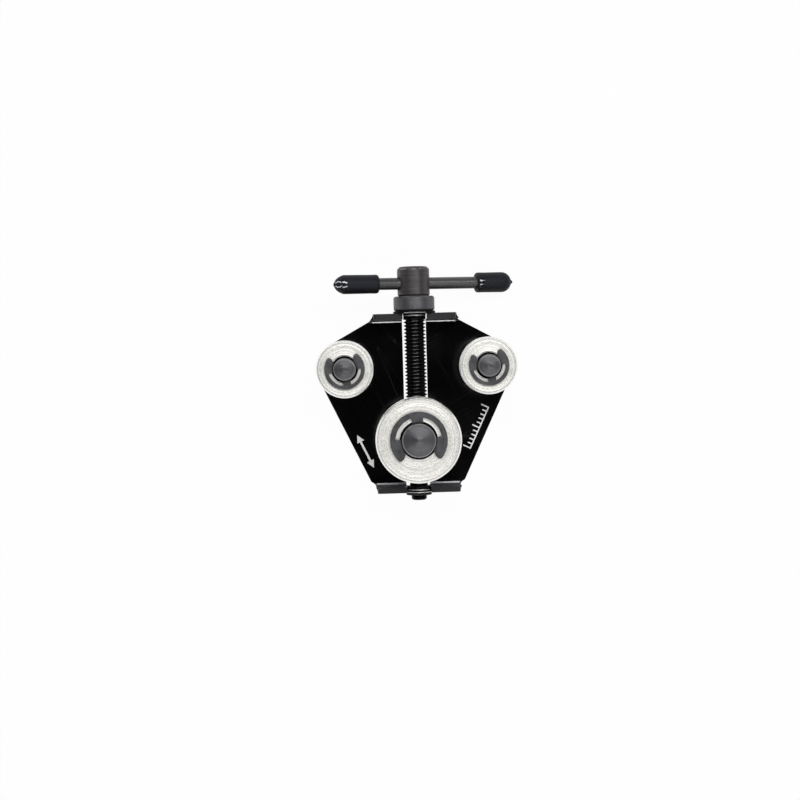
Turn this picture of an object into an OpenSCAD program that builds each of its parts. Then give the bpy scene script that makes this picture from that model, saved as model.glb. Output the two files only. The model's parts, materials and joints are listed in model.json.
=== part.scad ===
// Brake line straightener. A folded sheet steel frame carries two small grooved rollers on riveted
// pins. A screw spindle draws a third, larger roller on its carriage pin towards them, and a line
// pulled through the three grooves comes out straight.
// The tool lies on its back: +Z points up from the table, +Y points to the spindle head.

/* [Frame] */
// Thickness of the steel sheet
sheet_t = 2; // [1.6:0.1:2.4]
// Inside radius of the two bends
bend_r = 1; // [0.6:0.1:1.4]
// Distance between the two small roller pins
pin_span = 50; // [48:0.5:56]
// Radius of the plate around each small pin
lobe_r = 10.2; // [9:0.1:11]
// From the pin line to the outer face of the top flange
top_reach = 19; // [18:0.1:21]
// From the pin line to the outer face of the bottom flange
bottom_reach = 44.3; // [43:0.1:48]
// Width of both flanges
flange_w = 29.3; // [27:0.1:30]
// Slope of the upper plate edges below the horizontal, in degrees
upper_slope = 29; // [27:0.5:31]
// Slope of the lower plate edges away from the vertical, in degrees
lower_slope = 25.5; // [24:0.5:27]
// Radius of the hollow where a plate edge runs into a flange
hollow_r = 3.5; // [3:0.1:4]
// Corner radius of the flanges
flange_corner_r = 1.2; // [1:0.1:4]
// Width of the slot that guides the carriage pin
slot_w = 8.5; // [8.5:0.1:9.5]
// Corner radius at the closed end of the slot
slot_corner_r = 1.2; // [0.6:0.1:2]
// Gap between the flange edges and the back of the rollers
flange_gap = 1.5; // [1:0.1:2.5]

/* [Rollers] */
// Outer diameter of the small rollers
small_roller_d = 20; // [19:0.1:21]
// Outer diameter of the large roller
big_roller_d = 30; // [29:0.1:32]
// Width of all three rollers
roller_w = 8.5; // [8:0.1:10]
// Depth of the line groove
groove_depth = 3.3; // [2.8:0.1:3.6]
// Radius at the bottom of the line groove
groove_r = 2.45; // [2.3:0.05:2.6]
// Opening angle of each groove side, in degrees
groove_flare = 10; // [6:1:14]
// Chamfer on the rims
rim_chamfer = 0.5; // [0.2:0.1:0.8]
// Chamfer at the mouths of the bores
bore_chamfer = 0.6; // [0.3:0.1:0.9]

/* [Pins] */
// Diameter of the small roller journals
small_pin_d = 8; // [7.6:0.1:9]
// Diameter of the large roller journal
big_pin_d = 12; // [11.6:0.1:13]
// Diameter of the shoulder behind a small roller
shoulder_d = 12; // [11:0.1:14]
// Diameter of the riveted end inside the plate
rivet_d = 7.4; // [6:0.1:7.8]
// Diameter of the rivet head behind the plate
rivet_head_d = 11; // [10:0.1:13]
// Height of the rivet heads, which are the feet of the tool
foot_h = 2.4; // [2.2:0.1:3]
// Length of a pin beyond its clip
pin_end_l = 2; // [1.2:0.1:3]
// Chamfer on the pin ends
pin_chamfer = 0.5; // [0.2:0.1:0.8]

/* [Carriage] */
// From the pin line down to the large roller axis
carriage_drop = 25.3; // [22:0.1:28]
// Diameter of the carriage pin body
carriage_d = 15; // [14:0.1:16]
// Wall of the carriage pin over the spindle bore
carriage_wall = 1.3; // [1:0.1:2]
// Length of the tongue in the slot
tongue_l = 12; // [10:0.5:13]
// Diameter of the tail behind the plate
tail_d = 8; // [7.6:0.1:8.3]
// Diameter of the washer that slides on the back of the plate
slide_washer_d = 15; // [14.5:0.1:16]
// Thickness of the washer that slides on the back of the plate
slide_washer_t = 0.6; // [0.5:0.1:0.7]

/* [Spindle] */
// Height of the spindle axis over the plate
spindle_lift = 7.6; // [7.2:0.1:8.6]
// Outer diameter of the thread
thread_d = 7.7; // [7.2:0.1:8]
// Pitch of the thread
thread_pitch = 1.25; // [1:0.25:1.5]
// Depth of the thread
thread_depth = 0.72; // [0.5:0.02:0.8]
// Diameter of the neck in the collar
neck_d = 8.1; // [7.2:0.1:8.1]
// Diameter of the relief between neck and thread
relief_d = 7; // [6.4:0.1:7.2]
// Diameter of the journal in the lower bush
journal_d = 5.4; // [5:0.1:5.8]
// Length of the journal above the bush
journal_lead = 1.4; // [0.5:0.1:2]
// Length of the spindle beyond its clip
tip_l = 1.8; // [1:0.1:2.5]
// Diameter of the head
head_d = 11.4; // [10.6:0.1:12.4]
// Height of the head
head_h = 10.4; // [10:0.1:12]
// Chamfer around the top of the head
head_chamfer = 0.9; // [0.4:0.1:1.4]
// Diameter of the thrust collar
collar_d = 14.5; // [13:0.1:14.8]
// Height of the thrust collar
collar_h = 5.1; // [4:0.1:6]
// How far the thrust washer stands out past the collar
washer_lip = 0.2; // [0.1:0.05:0.4]
// Thickness of the thrust washer
washer_t = 0.8; // [0.6:0.1:1.2]

/* [Tommy bar] */
// Diameter of the bar
bar_d = 4.2; // [3.8:0.1:4.6]
// From the underside of the head to the bar axis
bar_rise = 4.5; // [4:0.1:5.5]
// From the spindle axis to the mouth of the left grip
left_mouth = 12.2; // [11:0.1:16]
// Length of the left grip
left_grip_l = 16.9; // [14:0.1:18]
// Diameter of the left grip
left_grip_d = 6.7; // [6.2:0.1:7.4]
// From the spindle axis to the mouth of the right grip
right_mouth = 22.9; // [19:0.1:24]
// Length of the right grip
right_grip_l = 14.2; // [13:0.1:15]
// Diameter of the right grip
right_grip_d = 7.2; // [6.6:0.1:7.6]
// Radius of the moulding nipple on a grip tip
nipple_r = 0.8; // [0.5:0.1:1]
// Length of the moulding nipple on a grip tip
nipple_l = 0.9; // [0.4:0.1:1.2]

/* [Clips] */
// Groove diameter for the small pin clips
small_clip_seat = 7; // [6.6:0.1:7.2]
// Outer diameter of the small pin clips
small_clip_d = 14; // [13:0.1:15]
// Thickness of the small pin clips
small_clip_t = 0.8; // [0.6:0.1:1]
// Groove diameter for the large pin clip
big_clip_seat = 10; // [9.6:0.1:10.4]
// Outer diameter of the large pin clip
big_clip_d = 20; // [19:0.1:21]
// Thickness of the large pin clip
big_clip_t = 1; // [0.8:0.1:1.2]
// Groove diameter for the spindle end clip
end_clip_seat = 4; // [3.8:0.1:4.2]
// Outer diameter of the spindle end clip
end_clip_d = 9; // [8.5:0.1:9.5]
// Thickness of the spindle end clip
end_clip_t = 0.6; // [0.5:0.1:0.8]
// Turn of the left clip, in degrees
left_clip_turn = 7.8; // [-20:0.1:20]
// Turn of the right clip, in degrees
right_clip_turn = 10.5; // [-20:0.1:20]
// Turn of the large clip, in degrees
big_clip_turn = 183; // [160:0.5:200]

/* [Clearances] */
// Radial running clearance of the rollers on their pins
run_fit = 0.05; // [0.02:0.01:0.08]
// Radial clearance of the thread in the carriage pin
thread_fit = 0.08; // [0.05:0.01:0.1]
// Clearance between faces that slide on each other
face_gap = 0.1; // [0.06:0.01:0.15]
// Clearance of seated pieces, such as a clip in its groove
seat_fit = 0.03; // [0.02:0.01:0.05]
// Clearance on each side of the tongue in the slot
slot_fit = 0.1; // [0.06:0.01:0.15]

/* [Hidden] */
$fn = 96;
beyond = 1;
floor_gap = 0.1;
thread_root_flat = 0.25 * thread_pitch;
thread_crest_flat = 0.125 * thread_pitch;
thread_flank = (thread_pitch - thread_root_flat - thread_crest_flat) / 2;
thread_r = thread_d / 2;
root_r = thread_r - thread_depth;
clip_window = 0.81;
clip_prong = 0.2;
clip_pad = 0.08;
clip_mouth = 0.86;
clip_flare = 20;
clip_tip = 0.13;
clip_overrun = 1.5;
groove_floor = 0.98;
hollow_bite = 0.743;
slot_bite = 0.4 * sheet_t;
bush_lip = 0.2 * sheet_t;
bush_bevel = 0.1 * sheet_t;
thread_lead = 0.1 * sheet_t;
neck_lead = 0.4 * sheet_t;

back_z = foot_h;
front_z = back_z + sheet_t;
spindle_z = front_z + spindle_lift;
thread_bore_r = thread_r + thread_fit;
shoulder_z = spindle_z + thread_bore_r + carriage_wall;
roller_back_z = shoulder_z + face_gap;
roller_face_z = roller_back_z + roller_w;
clip_z = roller_face_z + face_gap;
flange_z = roller_back_z - flange_gap;
small_pin_z = clip_z + small_clip_t + pin_end_l;
big_pin_z = clip_z + big_clip_t + pin_end_l;

tongue_z = back_z - face_gap;
slide_washer_z = tongue_z - seat_fit - slide_washer_t;
carriage_clip_z = slide_washer_z - seat_fit - small_clip_t;

pin_x = pin_span / 2;
flange_x = flange_w / 2;
slot_reach = bottom_reach - sheet_t + slot_bite;
bush_top = bottom_reach - sheet_t - bush_lip;
bush_bottom = bottom_reach + bush_bevel;
end_clip_y = bush_bottom + face_gap;
tip_reach = end_clip_y + end_clip_t + tip_l;
washer_d = collar_d + 2 * washer_lip;
washer_y = top_reach + seat_fit;
collar_y = washer_y + washer_t + face_gap;
head_y = collar_y + collar_h + seat_fit;
bar_y = head_y + bar_rise;
head_reach = head_y + head_h;
thread_top = top_reach - sheet_t - thread_lead;
relief_top = top_reach - neck_lead;
thread_bottom = -bush_top + journal_lead;
turns = floor((thread_top - thread_bottom) / thread_pitch);
line_y = (tip_reach - head_reach) / 2;

bar_hole_r = bar_d / 2 + run_fit;
left_tip = left_mouth + left_grip_l;
right_tip = right_mouth + right_grip_l;
right_dome = right_tip - nipple_l - right_grip_d / 2;
left_dome = left_tip - nipple_l - left_grip_d / 2;
bar_droop = asin((spindle_z - right_grip_d / 2 - floor_gap) / right_dome);

// Cross section of the folded sheet, with the length of the tool across and its height upwards
module tray(low, high, bottom, corner, top) {
    difference() {
        translate([low, bottom]) square([high - low, top - bottom]);
        for (side = [0, 1])
            translate([side == 0 ? low : high, bottom])
                mirror([side, 0])
                    difference() {
                        translate([-beyond, -beyond]) square(corner + beyond);
                        translate([corner, corner]) circle(corner);
                    }
    }
}

module channel() {
    rotate([90, 0, 90])
        linear_extrude(pin_span + 4 * lobe_r, center = true)
            difference() {
                tray(-bottom_reach, top_reach, back_z, bend_r + sheet_t, flange_z);
                tray(-bottom_reach + sheet_t, top_reach - sheet_t, front_z, bend_r, flange_z + beyond);
            }
}

// Right half of the flat outline: a lobe around the pin and straight edges up and down to the flanges
module half_outline() {
    up = [sin(upper_slope), cos(upper_slope)];
    down = [cos(lower_slope), -sin(lower_slope)];
    spread = cos(upper_slope - lower_slope);
    point = [up[1] - down[1], down[0] - up[0]] / spread;
    pin = [pin_x, 0];
    upper_corner = [flange_x, (lobe_r - up[0] * (flange_x - pin_x)) / up[1]];
    upper_y = (lobe_r + hollow_r - up[0] * (flange_x + hollow_r - pin_x)) / up[1];
    upper_centre = [flange_x + hollow_r, upper_y];
    inset = down[0] * (flange_x + hollow_r - pin_x);
    lower_y = max(-bottom_reach + sheet_t / 10, (lobe_r + hollow_bite * hollow_r - inset) / down[1]);
    lower_centre = [flange_x + hollow_r, lower_y];
    away = down * (lower_centre - pin) - lobe_r;
    along = sqrt(hollow_r * hollow_r - away * away);
    lower_start = lower_centre - down * away + [-down[1], down[0]] * along;
    difference() {
        polygon([
            [-beyond, top_reach + beyond],
            [flange_x, top_reach + beyond],
            upper_corner,
            pin + lobe_r * point,
            lower_start,
            [flange_x, lower_centre[1]],
            [flange_x, -bottom_reach - beyond],
            [-beyond, -bottom_reach - beyond]
        ]);
        translate(lower_centre) circle(hollow_r);
        translate(pin)
            difference() {
                polygon([lobe_r * up, 2 * lobe_r * up, 2 * lobe_r * point, 2 * lobe_r * down, lobe_r * down]);
                circle(lobe_r);
            }
    }
    difference() {
        polygon([
            upper_corner - [beyond, beyond],
            [flange_x - beyond, upper_y],
            [flange_x, upper_y],
            upper_centre - hollow_r * up,
            upper_centre - (hollow_r + beyond) * up
        ]);
        translate(upper_centre) circle(hollow_r);
    }
}

module flange_corner(side) {
    mirror([side, 0, 0])
        translate([flange_x - flange_corner_r, 0, flange_z - flange_corner_r])
            rotate([90, 0, 0])
                linear_extrude(2 * (top_reach + bottom_reach), center = true)
                    difference() {
                        square(hollow_r + flange_corner_r + beyond);
                        circle(flange_corner_r);
                    }
}

module slot() {
    length = slot_reach + top_reach + beyond;
    translate([0, 0, back_z - beyond])
        linear_extrude(beyond + sheet_t + bend_r)
            difference() {
                translate([-slot_w / 2, -slot_reach]) square([slot_w, length]);
                for (side = [0, 1])
                    mirror([side, 0])
                        translate([-slot_w / 2, -slot_reach])
                            difference() {
                                translate([-beyond, -beyond]) square(slot_corner_r + beyond);
                                translate([slot_corner_r, slot_corner_r]) circle(slot_corner_r);
                            }
            }
    mouth = top_reach - sheet_t - bend_r - beyond;
    translate([-slot_w / 2, mouth, back_z])
        cube([slot_w, top_reach + beyond - mouth, flange_z + beyond - back_z]);
}

module notch() {
    translate([0, -bottom_reach + sheet_t + beyond / 2, spindle_z])
        rotate([90, 0, 0])
            linear_extrude(sheet_t + beyond) {
                circle(slot_w / 2);
                translate([-slot_w / 2, 0]) square([slot_w, flange_z - spindle_z + beyond]);
            }
}

module frame_plate() {
    color("#1a1b1d")
        translate([0, line_y, 0])
            difference() {
                intersection() {
                    channel();
                    translate([0, 0, back_z - beyond])
                        linear_extrude(flange_z - back_z + 2 * beyond) {
                            half_outline();
                            mirror([1, 0]) half_outline();
                        }
                }
                slot();
                notch();
                flange_corner(0);
                flange_corner(1);
                for (side = [-1, 1])
                    translate([side * pin_x, 0, back_z - beyond])
                        cylinder(h = sheet_t + 2 * beyond, r = rivet_d / 2 + seat_fit);
            }
}

// A roller lies flat with its back on z = 0
module roller(outer_d, bore_d) {
    rim = outer_d / 2;
    bore = bore_d / 2;
    centre = rim - groove_depth + groove_r;
    half_floor = groove_floor * groove_r;
    half_mouth = half_floor + (rim + beyond - centre) * tan(groove_flare);
    rotate_extrude()
        difference() {
            polygon([
                [bore + bore_chamfer, 0],
                [rim - rim_chamfer, 0],
                [rim, rim_chamfer],
                [rim, roller_w - rim_chamfer],
                [rim - rim_chamfer, roller_w],
                [bore + bore_chamfer, roller_w],
                [bore, roller_w - bore_chamfer],
                [bore, bore_chamfer]
            ]);
            translate([centre, roller_w / 2]) circle(groove_r);
            polygon([
                [centre, roller_w / 2 - half_floor],
                [rim + beyond, roller_w / 2 - half_mouth],
                [rim + beyond, roller_w / 2 + half_mouth],
                [centre, roller_w / 2 + half_floor]
            ]);
        }
}

// An open retaining ring lies flat with its mouth towards +Y
module e_clip(outer_d, seat_d, thick) {
    ring = outer_d / 2;
    seat = seat_d / 2 + seat_fit;
    mouth = clip_mouth * seat_d / 2;
    step = sqrt(seat * seat - mouth * mouth) - seat_fit;
    tip = clip_tip * ring;
    side = [cos(clip_flare), -sin(clip_flare)];
    turn = clip_flare + asin((tip + side * [mouth, step]) / (ring - tip));
    heading = [sin(turn), cos(turn)];
    centre = (ring - tip) * heading;
    touch = centre - tip * side;
    blunt = centre + tip * (heading - side) / norm(heading - side);
    past = centre + clip_overrun * tip * heading;
    far = 2 * ring * heading;
    flip = [[-1, 0], [0, 1]];
    band = ring * (1 + clip_window) / 2;
    linear_extrude(thick)
        difference() {
            union() {
                difference() {
                    circle(ring);
                    circle(clip_window * ring);
                }
                difference() {
                    intersection() {
                        circle(ring);
                        translate([-ring, -clip_pad * ring]) square(2 * ring);
                    }
                    circle(seat);
                }
                difference() {
                    translate([-clip_prong * ring, -band]) square([2 * clip_prong * ring, band]);
                    circle(seat);
                    translate([-ring, -clip_pad * ring]) square(2 * ring);
                }
            }
            polygon([
                [0, 0], [mouth, 0], [mouth, step], touch, blunt, past, far,
                flip * far, flip * past, flip * blunt, flip * touch, [-mouth, step], [-mouth, 0]
            ]);
        }
}

// Riveted through the plate, with a shoulder that holds the roller clear of the spindle
module small_pin() {
    head = rivet_head_d / 2;
    journal = small_pin_d / 2;
    seat = small_clip_seat / 2;
    rotate_extrude()
        polygon([
            [0, 0],
            [head - foot_h / 2, 0],
            [head - foot_h / 8, foot_h / 4],
            [head, foot_h / 2],
            [head, foot_h - seat_fit],
            [rivet_d / 2, foot_h - seat_fit],
            [rivet_d / 2, front_z + seat_fit],
            [shoulder_d / 2, front_z + seat_fit],
            [shoulder_d / 2, shoulder_z],
            [journal, shoulder_z],
            [journal, clip_z - seat_fit],
            [seat, clip_z - seat_fit],
            [seat, clip_z + small_clip_t + seat_fit],
            [journal, clip_z + small_clip_t + seat_fit],
            [journal, small_pin_z - pin_chamfer],
            [journal - pin_chamfer, small_pin_z],
            [0, small_pin_z]
        ]);
}

module left_pin() {
    color("#4c4c4e") translate([-pin_x, line_y, 0]) small_pin();
}

module right_pin() {
    color("#4c4c4e") translate([pin_x, line_y, 0]) small_pin();
}

module left_roller() {
    color("#d9d7d0")
        translate([-pin_x, line_y, roller_back_z])
            roller(small_roller_d, small_pin_d + 2 * run_fit);
}

module right_roller() {
    color("#d9d7d0")
        translate([pin_x, line_y, roller_back_z])
            roller(small_roller_d, small_pin_d + 2 * run_fit);
}

module left_clip() {
    color("#39393b")
        translate([-pin_x, line_y, clip_z])
            rotate([0, 0, left_clip_turn])
                e_clip(small_clip_d, small_clip_seat, small_clip_t);
}

module right_clip() {
    color("#39393b")
        translate([pin_x, line_y, clip_z])
            rotate([0, 0, right_clip_turn])
                e_clip(small_clip_d, small_clip_seat, small_clip_t);
}

// One turned piece: journal in front, threaded body on the spindle, tongue in the slot, tail behind
module carriage_pin() {
    journal = big_pin_d / 2;
    seat = big_clip_seat / 2;
    tail = tail_d / 2;
    tail_seat = small_clip_seat / 2;
    tongue_w = slot_w - 2 * slot_fit;
    groove_z = carriage_clip_z - seat_fit;
    body_z = front_z + face_gap;
    color("#4c4c4e")
        translate([0, line_y - carriage_drop, 0])
            difference() {
                union() {
                    rotate_extrude()
                        polygon([
                            [0, 0],
                            [tail - pin_chamfer, 0],
                            [tail, pin_chamfer],
                            [tail, groove_z],
                            [tail_seat, groove_z],
                            [tail_seat, slide_washer_z],
                            [tail, slide_washer_z],
                            [tail, tongue_z + beyond],
                            [0, tongue_z + beyond]
                        ]);
                    intersection() {
                        translate([0, 0, tongue_z])
                            cylinder(h = body_z + beyond - tongue_z, r = tongue_l / 2);
                        translate([-tongue_w / 2, -tongue_l, tongue_z])
                            cube([tongue_w, 2 * tongue_l, body_z + beyond - tongue_z]);
                    }
                    rotate_extrude()
                        polygon([
                            [0, body_z],
                            [carriage_d / 2 - pin_chamfer, body_z],
                            [carriage_d / 2, body_z + pin_chamfer],
                            [carriage_d / 2, shoulder_z - pin_chamfer],
                            [carriage_d / 2 - pin_chamfer, shoulder_z],
                            [journal, shoulder_z],
                            [journal, clip_z - seat_fit],
                            [seat, clip_z - seat_fit],
                            [seat, clip_z + big_clip_t + seat_fit],
                            [journal, clip_z + big_clip_t + seat_fit],
                            [journal, big_pin_z - pin_chamfer],
                            [journal - pin_chamfer, big_pin_z],
                            [0, big_pin_z]
                        ]);
                }
                translate([0, 0, spindle_z])
                    rotate([90, 0, 0])
                        cylinder(h = 2 * carriage_d, r = thread_bore_r, center = true);
            }
}

// Bridges the slot behind the plate, over the tail of the carriage pin
module carriage_washer() {
    color("#262627")
        translate([0, line_y - carriage_drop, slide_washer_z])
            difference() {
                cylinder(h = slide_washer_t, r = slide_washer_d / 2);
                translate([0, 0, -beyond])
                    cylinder(h = slide_washer_t + 2 * beyond, r = tail_d / 2 + run_fit);
            }
}

module carriage_clip() {
    color("#39393b")
        translate([0, line_y - carriage_drop, carriage_clip_z])
            rotate([0, 0, -90])
                e_clip(small_clip_d, small_clip_seat, small_clip_t);
}

module big_roller() {
    color("#d9d7d0")
        translate([0, line_y - carriage_drop, roller_back_z])
            roller(big_roller_d, big_pin_d + 2 * run_fit);
}

module big_roller_clip() {
    color("#39393b")
        translate([0, line_y - carriage_drop, clip_z])
            rotate([0, 0, big_clip_turn])
                e_clip(big_clip_d, big_clip_seat, big_clip_t);
}

// Puts a turned piece, drawn with its axis upwards, on the spindle axis with its top towards the head
module on_spindle(height) {
    translate([0, line_y + height, spindle_z])
        rotate([-90, 0, 0])
            children();
}

// Puts a piece, drawn along z, on the bar axis with +z towards the right grip
module on_bar() {
    translate([0, line_y + bar_y, spindle_z])
        rotate([0, 90 + bar_droop, 0])
            children();
}

// The thread is drawn as rings of the thread profile
module spindle() {
    journal = journal_d / 2;
    seat = end_clip_seat / 2;
    neck = neck_d / 2;
    relief = relief_d / 2;
    head = head_d / 2;
    groove_top = -end_clip_y + seat_fit;
    groove_bottom = -end_clip_y - end_clip_t - seat_fit;
    rings = [
        for (i = [0 : turns - 1], step = [0 : 3])
            let (low = thread_bottom + i * thread_pitch)
                step == 0 ? [root_r, low + thread_root_flat] :
                step == 1 ? [thread_r, low + thread_root_flat + thread_flank] :
                step == 2 ? [thread_r, low + thread_pitch - thread_flank] :
                [root_r, low + thread_pitch]
    ];
    profile = concat(
        [
            [0, -tip_reach],
            [journal - pin_chamfer, -tip_reach],
            [journal, -tip_reach + pin_chamfer],
            [journal, groove_bottom],
            [seat, groove_bottom],
            [seat, groove_top],
            [journal, groove_top],
            [journal, thread_bottom],
            [root_r, thread_bottom]
        ],
        rings,
        [
            [root_r, thread_top],
            [relief, thread_top],
            [relief, relief_top],
            [neck, relief_top],
            [neck, head_y],
            [head, head_y],
            [head, head_reach - head_chamfer],
            [head - head_chamfer, head_reach],
            [0, head_reach]
        ]
    );
    color("#2b2a2a")
        difference() {
            on_spindle(0) rotate_extrude() polygon(profile);
            on_bar() cylinder(h = 2 * head_d, r = bar_hole_r, center = true);
        }
}

// A loose turned ring that carries the thrust of the head
module thrust_collar() {
    color("#5d5c5c")
        on_spindle(collar_y)
            rotate_extrude()
                polygon([
                    [neck_d / 2 + run_fit, 0],
                    [collar_d / 2 - pin_chamfer, 0],
                    [collar_d / 2, pin_chamfer],
                    [collar_d / 2, collar_h - pin_chamfer],
                    [collar_d / 2 - pin_chamfer, collar_h],
                    [neck_d / 2 + run_fit, collar_h]
                ]);
}

module thrust_washer() {
    color("#262627")
        on_spindle(washer_y)
            difference() {
                cylinder(h = washer_t, r = washer_d / 2);
                translate([0, 0, -beyond]) cylinder(h = washer_t + 2 * beyond, r = neck_d / 2 + run_fit);
            }
}

// Seated in the notch of the bottom flange
module lower_bush() {
    outer = slot_w / 2 - run_fit;
    bore = journal_d / 2 + run_fit;
    bevel = bush_bevel;
    height = bush_bottom - bush_top;
    color("#222223")
        on_spindle(-bush_bottom)
            rotate_extrude()
                polygon([
                    [bore, 0],
                    [outer - bevel, 0],
                    [outer, bevel],
                    [outer, height - bevel],
                    [outer - bevel, height],
                    [bore, height]
                ]);
}

module spindle_clip() {
    color("#39393b")
        on_spindle(-end_clip_y - end_clip_t)
            e_clip(end_clip_d, end_clip_seat, end_clip_t);
}

module tommy_bar() {
    color("#4a4a4c")
        on_bar()
            translate([0, 0, -left_dome])
                cylinder(h = left_dome + right_dome, r = bar_d / 2);
}

// A moulded cap drawn upwards from its mouth at z = 0
module grip(length, outer_d, depth) {
    outer = outer_d / 2;
    dome = length - nipple_l - outer;
    difference() {
        union() {
            cylinder(h = dome, r = outer);
            translate([0, 0, dome]) sphere(outer);
            translate([0, 0, dome]) cylinder(h = outer + nipple_l - nipple_r, r = nipple_r);
            translate([0, 0, length - nipple_r]) sphere(nipple_r);
        }
        translate([0, 0, -beyond]) cylinder(h = depth + seat_fit + beyond, r = bar_d / 2 + seat_fit);
    }
}

module left_grip() {
    color("#1b1c22")
        on_bar()
            mirror([0, 0, 1])
                translate([0, 0, left_mouth])
                    grip(left_grip_l, left_grip_d, left_dome - left_mouth);
}

module right_grip() {
    color("#1b1c22")
        on_bar()
            translate([0, 0, right_mouth])
                grip(right_grip_l, right_grip_d, right_dome - right_mouth);
}

frame_plate();
left_pin();
left_roller();
left_clip();
right_pin();
right_roller();
right_clip();
carriage_pin();
carriage_washer();
carriage_clip();
big_roller();
big_roller_clip();
spindle();
thrust_collar();
thrust_washer();
lower_bush();
spindle_clip();
tommy_bar();
left_grip();
right_grip();
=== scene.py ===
import json
import math

import bmesh
import bpy
from mathutils import Matrix, Vector


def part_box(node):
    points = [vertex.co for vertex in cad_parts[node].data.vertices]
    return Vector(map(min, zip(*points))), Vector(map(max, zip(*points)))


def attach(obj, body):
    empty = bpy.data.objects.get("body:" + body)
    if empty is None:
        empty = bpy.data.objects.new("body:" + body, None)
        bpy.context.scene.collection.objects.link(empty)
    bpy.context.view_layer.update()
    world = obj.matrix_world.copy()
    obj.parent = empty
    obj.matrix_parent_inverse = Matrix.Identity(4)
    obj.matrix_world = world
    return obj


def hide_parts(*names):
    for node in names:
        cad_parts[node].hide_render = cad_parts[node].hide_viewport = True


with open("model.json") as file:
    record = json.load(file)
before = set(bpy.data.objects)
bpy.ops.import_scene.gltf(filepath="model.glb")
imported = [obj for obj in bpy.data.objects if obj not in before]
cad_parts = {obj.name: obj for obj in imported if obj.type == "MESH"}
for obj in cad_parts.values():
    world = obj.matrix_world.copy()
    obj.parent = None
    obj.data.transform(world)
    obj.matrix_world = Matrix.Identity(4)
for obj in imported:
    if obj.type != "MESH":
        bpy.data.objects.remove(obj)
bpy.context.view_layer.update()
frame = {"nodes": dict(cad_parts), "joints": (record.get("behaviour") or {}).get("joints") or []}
nodes = frame["nodes"]
mm = 0.001


# Frame plate. One blank of 2 mm steel sheet, stamped with its slot and folded up at both ends.
# Gloss black paint lies thin on the cut edges, is dull inside both flanges with a painted grey sheen, has
# hairlines from handling, and carries a painted highlight, a thin pale line along the start of each fold.
class Shade:
    """A value inside a finish. Arithmetic on it adds the Math nodes."""

    def __init__(self, owner, node, output=0):
        self.owner, self.node, self.socket = owner, node, node.outputs[output]

    def out(self, output):
        return Shade(self.owner, self.node, output)

    def math(self, operation, *others):
        return self.owner.node("Math", {"operation": operation}, dict(enumerate((self, *others))))

    def __add__(self, other):
        return self.math("ADD", other)

    def __sub__(self, other):
        return self.math("SUBTRACT", other)

    def __rsub__(self, other):
        return self.owner.node("Math", {"operation": "SUBTRACT"}, {0: other, 1: self})

    def __mul__(self, other):
        return self.math("MULTIPLY", other)

    def __truediv__(self, other):
        return self.math("DIVIDE", other)

    def __pow__(self, other):
        return self.math("POWER", other)

    def __abs__(self):
        return self.math("ABSOLUTE")

    __radd__ = __add__
    __rmul__ = __mul__

    def step(self, low, high):
        """0 below low, 1 above high and a smooth rise between; high may be the smaller."""
        ends = {"Value": self, "From Min": low, "From Max": high}
        return self.owner.node("MapRange", {"interpolation_type": "SMOOTHSTEP"}, ends)

    def band(self, low, high, soft):
        """1 between low and high, fading to 0 over a soft margin inside both."""
        return self.step(low, low + soft) * self.step(high, high - soft)


class NodeTree:
    """The nodes of a finish or of the room, with the one way in which they are added."""

    def __init__(self, tree):
        self.tree = tree

    def plug(self, socket, value):
        if isinstance(value, Shade):
            self.tree.links.new(value.socket, socket)
        else:
            socket.default_value = value

    def node(self, kind, settings, sockets):
        made = self.tree.nodes.new("ShaderNode" + kind)
        for key, value in settings.items():
            setattr(made, key, value)
        for key, value in sockets.items():
            self.plug(made.inputs[key], value)
        return Shade(self, made)


class Finish(NodeTree):
    """A material, made from the places and directions on the piece that wears it."""

    def __init__(self, name, **constants):
        self.material = bpy.data.materials.new(name)
        self.material.use_nodes = True
        super().__init__(self.material.node_tree)
        self.shader = self.tree.nodes["Principled BSDF"]
        self.set(**constants)

    def set(self, **sockets):
        for key, value in sockets.items():
            self.plug(self.shader.inputs[key.replace("_", " ")], value)

    def axes(self, vector):
        split = self.node("SeparateXYZ", {}, {0: vector})
        return [split.out(axis) for axis in "XYZ"]

    def spot(self, centre=(0, 0, 0)):
        """The place on the piece, in metres from centre."""
        place = self.node("TexCoord", {}, {}).out("Object")
        return self.node("VectorMath", {"operation": "SUBTRACT"}, {0: place, 1: centre})

    def facing(self):
        """The X, Y and Z of the direction in which the surface faces."""
        return self.axes(self.node("TexCoord", {}, {}).out("Normal"))

    def noise(self, place, size, detail):
        """Noise from 0 to 1 whose features are about size metres across."""
        return self.node("TexNoise", {}, {"Vector": place, "Scale": 1 / size, "Detail": detail})

    def mix(self, amount, low, high):
        ends = [(*end, 1) if isinstance(end, tuple) else end for end in (low, high)]
        return self.node("Mix", {"data_type": "RGBA"}, {0: amount, 6: ends[0], 7: ends[1]}).out(2)

    def relief(self, height, depth):
        """Bump of that depth in metres where height goes from 0 to 1."""
        self.set(Normal=self.node("Bump", {}, {"Height": height, "Distance": depth, "Strength": 1.0}))

    def drawn(self, place, turn, stretch):
        """The place, stretched along an X axis that is turned first."""
        return self.node("Mapping", {"vector_type": "TEXTURE"},
                         {"Vector": place, "Rotation": turn, "Scale": (stretch, 1, 1)})

    def hairlines(self, place, turn, spacing, width):
        """Thin scratches that run across the piece at an angle in degrees."""
        line = self.noise(self.drawn(place, (0, 0, math.radians(turn)), 30), spacing, 1.0)
        return abs(line - 0.5).step(width, 0)


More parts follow.
